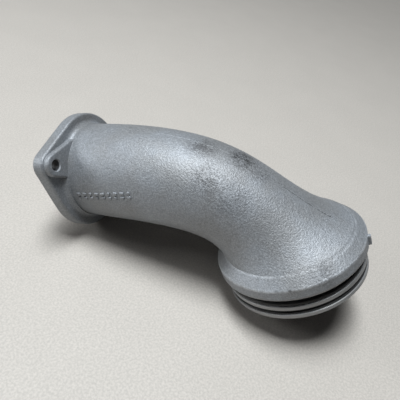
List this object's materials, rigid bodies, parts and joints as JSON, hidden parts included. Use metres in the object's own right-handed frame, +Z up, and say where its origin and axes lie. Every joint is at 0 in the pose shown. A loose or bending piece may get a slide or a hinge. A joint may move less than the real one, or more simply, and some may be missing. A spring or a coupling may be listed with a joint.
{
  "type": "flue elbow",
  "caption": "Cast aluminium flue elbow: a hollow bend from an eared flange to a round spigot with a wide shoulder collar and seal grooves.",
  "frame": {"origin": "centre of the footprint, on the surface the elbow lies on", "axes": "+Z up; the bend lies in the XZ plane, with the flange towards -X and the spigot pointing down towards +X"},
  "size_m": [0.225, 0.1006, 0.0936],
  "materials": {
    "cast_aluminium": "bead-blasted sand casting, matt grey, with machined ribs",
    "seal_rubber": "matt black"
  },
  "bodies": {
    "root": {"elbow_casting": "cast_aluminium", "upper_seal_ring": "seal_rubber", "lower_seal_ring": "seal_rubber", "flange_seal_ring": "seal_rubber"}
  },
  "joints": []
}
